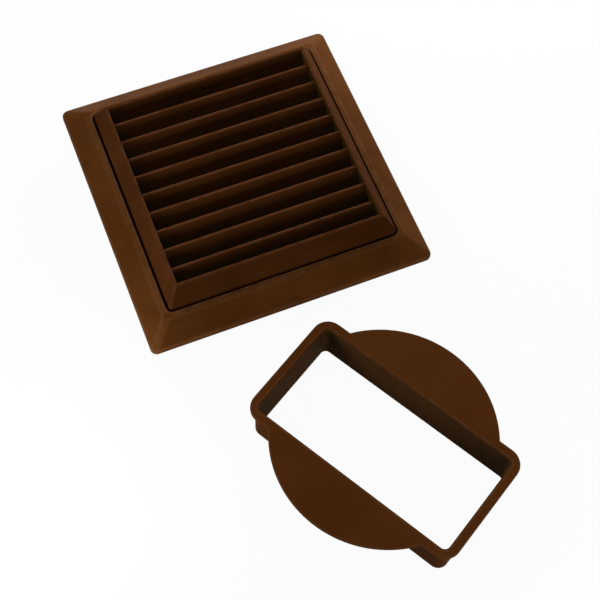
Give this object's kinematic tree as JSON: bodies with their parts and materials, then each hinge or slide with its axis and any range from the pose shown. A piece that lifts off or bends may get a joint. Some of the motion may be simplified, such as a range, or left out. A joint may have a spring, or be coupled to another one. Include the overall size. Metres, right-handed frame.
{
  "type": "ventilation grille",
  "caption": "Square fixed-louvre vent grille: wall frame with a round duct spigot, clip-in louvre insert, and a loose adaptor for flat channel duct.",
  "frame": {"origin": "on the surface that the set lies on, under the middle of the grille and its adaptor together", "axes": "+Z out of the grille's face, as it lies on its back; X along the blades; +Y away from the adaptor, which is down on a wall"},
  "size_m": [0.15, 0.2956, 0.0421],
  "materials": {
    "frame_plastic": "satin moulded brown",
    "louvre_plastic": "satin moulded brown",
    "adaptor_plastic": "satin moulded brown"
  },
  "bodies": {
    "frame": {"wall_frame": "frame_plastic"},
    "insert": {"louvre_insert": "louvre_plastic"},
    "adaptor": {"duct_adaptor": "adaptor_plastic"}
  },
  "joints": [
    {"name": "insert_pull", "type": "slide", "parent": "frame", "child": "insert", "axis": [0, 0, 1], "range_m": [0, 0.03]},
    {"name": "adaptor_lift", "type": "slide", "parent": "frame", "child": "adaptor", "axis": [0, 0, 1], "range_m": [0, 0.05]}
  ]
}
